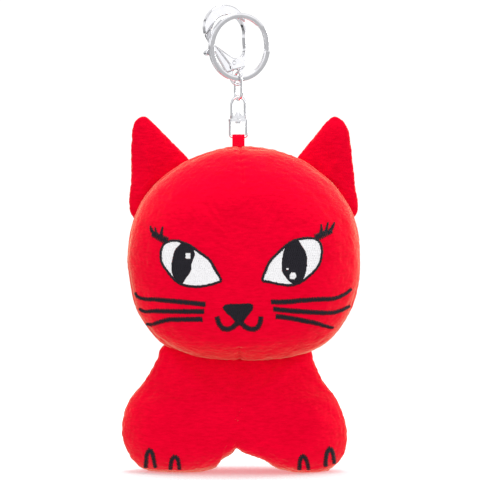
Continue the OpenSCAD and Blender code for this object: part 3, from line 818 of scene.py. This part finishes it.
LEFT_LASHES = [
    ([(-32.6, 101.6), (-34.6, 102.6), (-36.6, 103.6), (-38.6, 104.8)], 2.7, 1.9),
    ([(-38.2, 104.6), (-39.2, 106), (-39.9, 108.1)], 1.5, 0.5),
    ([(-37, 104.2), (-37.5, 105.8), (-37.9, 107.6)], 0.9, 0.4),
    ([(-35.2, 103), (-35.1, 105), (-34.5, 107.8)], 1.3, 0.5)]
RIGHT_LASHES = [
    ([(32.8, 103.2), (34.9, 103.9), (37, 104.9), (39.6, 106.2)], 2.5, 1.8),
    ([(38.6, 105.9), (40, 107.4), (40.9, 109.7)], 1.5, 0.5),
    ([(36.6, 105), (37.5, 107), (38.2, 109.8)], 1, 0.4),
    ([(34.8, 104.2), (35.3, 106.4), (35.2, 108.9)], 1.3, 0.5)]
LEFT_TOES = [
    [(-42, 1.8), (-41.7, 6), (-40.8, 9.1), (-39.5, 8.8), (-38.6, 5.4), (-37.8, 1.8)],
    [(-31.2, 1), (-30.6, 5), (-29.2, 6.6), (-27.8, 5), (-27.2, 1)]]
RIGHT_TOES = [
    [(25.6, 0.9), (26.1, 5), (27.3, 6.9), (28.7, 5), (29.7, 0.9)],
    [(37.2, 2.4), (37.6, 7.4), (39.1, 10.2), (40.4, 8), (41, 3.6)]]


def inset(points, by):
    """The outline brought in towards its middle."""
    p = np.array(points, float)
    spokes = p - p.mean(axis=0)
    return p - spokes / np.linalg.norm(spokes, axis=1)[:, None] * by


def make_eye(side, eye, pupil, highlights, lashes, seed):
    """White stitches, then the pupil and the outline, the highlights, and the lashes."""
    eye = inset(eye, EYE_INSET)
    edge = smooth_curve(eye, AREA_STEPS, closed=True)
    dark = smooth_curve(pupil, AREA_STEPS, closed=True)
    needle = Needle(head, seed)
    needle.rows(edge, [dark])
    needle.finish(f"{side}_eye_white_stitches", white_thread, "white_thread", f"{side}_eye_white")
    needle = Needle(head, seed + 1)
    needle.rows(dark, highlights)
    needle.satin(eye, EYE_OUTLINE, closed=True, rise=0.34)
    needle.finish(f"{side}_eye_black_stitches", black_thread, "black_thread", f"{side}_eye_outline")
    needle = Needle(head, seed + 2)
    for area in highlights:
        needle.rows(area, rise=0.3)
    needle.finish(f"{side}_eye_highlight_stitches", white_thread, "white_thread",
                  f"{side}_eye_highlight")
    needle = Needle(head, seed + 3)
    for line, width, end_width in lashes:
        needle.satin(line, width * LASH_WIDER, end_width * LASH_TIP_WIDER)
    needle.finish(f"{side}_lash_stitches", black_thread, "black_thread", f"{side}_lashes")


def make_strokes(name, node, base, lines, width, end_width, seed):
    """Black strokes that start as wide as width and end as wide as end_width."""
    needle = Needle(base, seed)
    for line in lines:
        needle.satin(line, width, end_width, taper=STROKE_TAPER)
    needle.finish(name, black_thread, "black_thread", node)


def make_nose(seed):
    needle = Needle(head, seed)
    shape = inset(NOSE, NOSE_INSET)
    needle.rows(smooth_curve(shape, AREA_STEPS, closed=True), rise=0.2)
    needle.satin(shape, NOSE_OUTLINE, closed=True)
    needle.finish("nose_stitches", black_thread, "black_thread", "nose")


make_eye("left", LEFT_EYE, LEFT_PUPIL, [LEFT_HIGHLIGHT], LEFT_LASHES, seed=11)
make_eye("right", RIGHT_EYE, RIGHT_PUPIL, RIGHT_HIGHLIGHTS, RIGHT_LASHES, seed=21)
make_nose(seed=41)
make_strokes("mouth_stitches", "mouth", head, MOUTH, width=2.4, end_width=2.2, seed=51)
make_strokes("left_whisker_stitches", "left_whiskers", head, LEFT_WHISKERS,
             width=2.3, end_width=1.2, seed=61)
make_strokes("right_whisker_stitches", "right_whiskers", head, RIGHT_WHISKERS,
             width=2.3, end_width=1.2, seed=71)
make_strokes("left_toe_stitches", "left_toe_lines", body, LEFT_TOES,
             width=2.0, end_width=1.8, seed=81)
make_strokes("right_toe_stitches", "right_toe_lines", body, RIGHT_TOES,
             width=2.0, end_width=1.8, seed=91)

# ---- ribbon ----


def make_ribbon():
    """A tape folded round the swivel's lower wire, both ends sewn into the head's top seam. Its two
    layers lie together up to part_z and open from there to go round the wire."""
    low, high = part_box("ribbon_loop")
    tail_low, tail_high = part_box("ribbon_tail")
    width = (high.x - low.x) / MM
    middle_x = (high.x + low.x) / 2 / MM
    thick = (tail_high.y - tail_low.y) / 2 / MM
    turn_r = (high.y - low.y) / 2 / MM - thick / 2
    fold_z = high.z / MM - turn_r - thick / 2
    bottom_z = tail_low.z / MM
    arc = [(turn_r * math.cos(a), fold_z + turn_r * math.sin(a))
           for a in np.linspace(0, math.pi, 17)]
    part_z, open_z = fold_z - 3.6, fold_z - 1.9
    leg = [(thick / 2, bottom_z), (thick / 2, part_z), (0.45 * turn_r, open_z)]
    path = np.array([(-y, z) for y, z in leg + arc] + leg[::-1])
    path = even_steps(smooth_curve(path, 6), 110)
    ahead = np.gradient(path, axis=0)
    ahead /= np.linalg.norm(ahead, axis=1)[:, None]
    out = np.column_stack([-ahead[:, 1], ahead[:, 0]])
    across = np.linspace(-1, 1, 25)
    ring = [(u, 1) for u in across] + [(u, -1) for u in across[::-1]]
    verts = []
    # thin edges with a tight selvedge, and a faint wave across the tape
    for p, o in zip(path, out):
        for u, s in ring:
            half = thick / 2 * (0.86 + 0.14 * abs(u) ** 6) * (1 if abs(u) < 0.999 else 0.55)
            wave = 0.03 * math.sin(u * 9) + 0.05 * (1 - u * u)
            y, z = p + o * (s * half + wave)
            verts.append((middle_x + u * width / 2, y, z))
    ribbon = add_mesh("ribbon", verts, tube_faces(len(path), len(ring)), ribbon_weave)
    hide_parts("ribbon_tail", "ribbon_loop")
    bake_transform(ribbon)


make_ribbon()

# ---- hardware ----


def dress(node, material):
    """Gives a CAD node its finish."""
    slots = frame["nodes"][node].data.materials
    slots.clear()
    slots.append(material)


def cast_copy(name, node, material, voxel=0.16, rounds=26):
    """A CAD piece again with the soft edges of a die casting: a fine skin over it, smoothed."""
    obj = frame["nodes"][node].copy()
    obj.data = frame["nodes"][node].data.copy()
    obj.name = obj.data.name = name
    for key in list(obj.keys()):
        del obj[key]
    obj.parent = None
    bpy.context.scene.collection.objects.link(obj)
    remesh = obj.modifiers.new("skin", "REMESH")
    remesh.mode, remesh.voxel_size = "VOXEL", voxel * MM
    smooth = obj.modifiers.new("soften", "SMOOTH")
    smooth.factor, smooth.iterations = 0.5, rounds
    mesh = bpy.data.meshes.new_from_object(obj.evaluated_get(bpy.context.evaluated_depsgraph_get()))
    obj.modifiers.clear()
    obj.data = mesh
    mesh.name = name
    mesh.materials.clear()
    mesh.materials.append(material)
    mesh.polygons.foreach_set("use_smooth", np.ones(len(mesh.polygons), bool))
    bodies = frame["record"]["behaviour"]["bodies"]
    place(obj, next(b for b, nodes in bodies.items() if node in nodes), "polished_metal", node)


def make_key_ring(jog=0.7, clear=0.12, split_at=0.35, steps=420):
    """A split ring: flat wire wound twice round. At the angle split_at it steps from one turn to the
    other over the angle jog, and its two ends stop clear of the step."""
    low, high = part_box("key_ring")
    centre = np.array((low + high) / 2) / MM
    right = np.array(joint_named("ring_swing")["axis"], float)
    up = np.array([0, 0, 1.0])
    out = np.cross(right, up)
    outer = (high.z - low.z) / 2 / MM
    # the wire's width, thickness and edge rounding, and how far each turn is off the ring's middle
    band, thick, edge_r, off_middle = 2.3, 0.86, 0.26, 0.46
    cx, cy = band / 2 - edge_r, thick / 2 - edge_r
    section = []
    for x, y, start in ((cx, cy, 0), (-cx, cy, 90), (-cx, -cy, 180), (cx, -cy, 270)):
        for a in np.radians(np.linspace(start, start + 90, 6)):
            section.append((x + edge_r * math.cos(a), y + edge_r * math.sin(a)))
    angles = np.linspace(jog / 2 + clear, 4 * math.pi - jog / 2 - clear, steps)
    step = np.clip((angles - 2 * math.pi + jog / 2) / jog, 0, 1)
    lift = (step * step * (3 - 2 * step) * 2 - 1) * off_middle
    verts = []
    for angle, shift in zip(angles + split_at, lift):
        spoke = right * math.cos(angle) + up * math.sin(angle)
        for u, v in section:
            verts.append(centre + spoke * (outer - band / 2 + u) + out * (shift + v))
    ring = add_mesh("split_ring", verts, tube_faces(steps, len(section)), chrome)
    place(ring, "ring", "polished_metal", "key_ring")


for name in ("swivel_lower_loop", "swivel_upper_loop", "swivel_pin", "jump_link", "clasp_pin"):
    dress(name, chrome)
dress("clasp_spring", spring_steel)
make_key_ring()
cast_copy("clasp_casting", "clasp_body", chrome)
cast_copy("clasp_trigger", "clasp_lever", shaded_chrome_lever)

# ---- floor and light ----

BACKDROP_LIGHT = 1.1
ROOM_LIGHT = 1.17
# the brightness of the room, from under the floor to overhead
ROOM_DOME = [(0, 0.8), (0.45, 1.0), (0.6, 0.95), (1, 0.75)]
# what metal sees instead: from the viewer's side to the far side, in blotches, and from below up
TENT_SIDES = [(0, 2.2), (0.05, 1.8), (0.11, 0.6), (0.19, 1.1), (0.4, 1.0), (0.55, 0.3), (0.7, 0.9)]
TENT_BLOTCHES = [(0.36, 0.08), (0.42, 0.9), (0.48, 1)]
TENT_HEIGHTS = [(0.2, 0.85), (0.42, 0.5), (0.5, 0.52), (0.54, 1.05), (0.8, 1.0)]


def make_floor(size=1.3):
    """White paper that lights itself a little and is left out of reflections and bounced light."""
    n = Finish("floor_paper")
    n.set(base_color=(0.74, 0.74, 0.74, 1), roughness=0.9, specular_ior_level=0,
          emission_color=(1, 0.99, 1, 1), emission_strength=0.27)
    half = size / MM / 2
    corners = [(-half, -half, 0), (half, -half, 0), (half, half, 0), (-half, half, 0)]
    floor = add_mesh("floor", corners, [(0, 1, 2, 3)], n.material)
    floor.visible_glossy = floor.visible_diffuse = False


def area_light(name, at, aim, size, power):
    """A round lamp. Its place, its aim and its size are in metres."""
    data = bpy.data.lights.new(name, "AREA")
    data.shape = "DISK"
    data.size = size
    data.energy = power
    light = bpy.data.objects.new(name, data)
    bpy.context.scene.collection.objects.link(light)
    light.location = at
    light.rotation_euler = (Vector(aim) - Vector(at)).to_track_quat("-Z", "Y").to_euler()


def make_world():
    """An even white room. What shines sees a light tent with grey and dark parts instead of it, and
    the camera sees a plain white backdrop."""
    world = bpy.data.worlds.new("light_tent")
    bpy.context.scene.world = world
    world.use_nodes = True
    n = Nodes(world.node_tree)
    rays = n.add("ShaderNodeLightPath")
    where = n.add("ShaderNodeTexCoord")
    parts = n.add("ShaderNodeSeparateXYZ")
    n.link(where, "Generated", parts, "Vector")

    def share(axis):
        """-1 to 1 along an axis as 0 to 1."""
        node = n.add("ShaderNodeMapRange", from_min=-1.0, from_max=1.0)
        n.link(parts, axis, node, "Value")
        return node

    def greys(source, out_name, stops):
        return n.ramp(source, out_name, [(at, (grey, grey, grey * 1.01, 1)) for at, grey in stops])

    def times(a, a_output, b):
        node = n.add("ShaderNodeMix", data_type="RGBA", blend_type="MULTIPLY")
        node.inputs["Factor"].default_value = 1
        n.link(a, a_output, node, 6)
        n.link(b, "Color", node, 7)
        return node

    def pick(ray, other, shown):
        """Shown for that kind of ray, other for the rest."""
        node = n.add("ShaderNodeMixShader")
        n.link(rays, ray, node, "Fac")
        n.link(other, 0, node, 1)
        n.link(shown, 0, node, 2)
        return node

    blotches = n.add("ShaderNodeTexNoise", scale=2.6, detail=1.0)
    n.link(where, "Generated", blotches, "Vector")
    level = share("Z")
    sides = greys(share("Y"), "Result", TENT_SIDES)
    blotched = times(sides, "Color", greys(blotches, "Fac", TENT_BLOTCHES))
    shaded = times(blotched, 2, greys(level, "Result", TENT_HEIGHTS))
    tent = n.add("ShaderNodeBackground")
    n.link(shaded, 2, tent, "Color")
    room = n.add("ShaderNodeBackground", strength=ROOM_LIGHT)
    n.link(greys(level, "Result", ROOM_DOME), "Color", room, "Color")
    backdrop = n.add("ShaderNodeBackground", strength=BACKDROP_LIGHT)
    backdrop.inputs["Color"].default_value = (1, 1, 1, 1)
    seen = pick("Is Camera Ray", pick("Is Glossy Ray", room, tent), backdrop)
    n.link(seen, "Shader", n.add("ShaderNodeOutputWorld"), "Surface")


make_floor()
make_world()
area_light("top_light", at=(0.0, 0.1, 1.1), aim=(0, 0, 0.1), size=0.6, power=8.5)
area_light("rim_light", at=(1.1, 0.6, 0.3), aim=(0, 0, 0.08), size=0.5, power=6.0)
bpy.context.scene.view_settings.view_transform = "Standard"
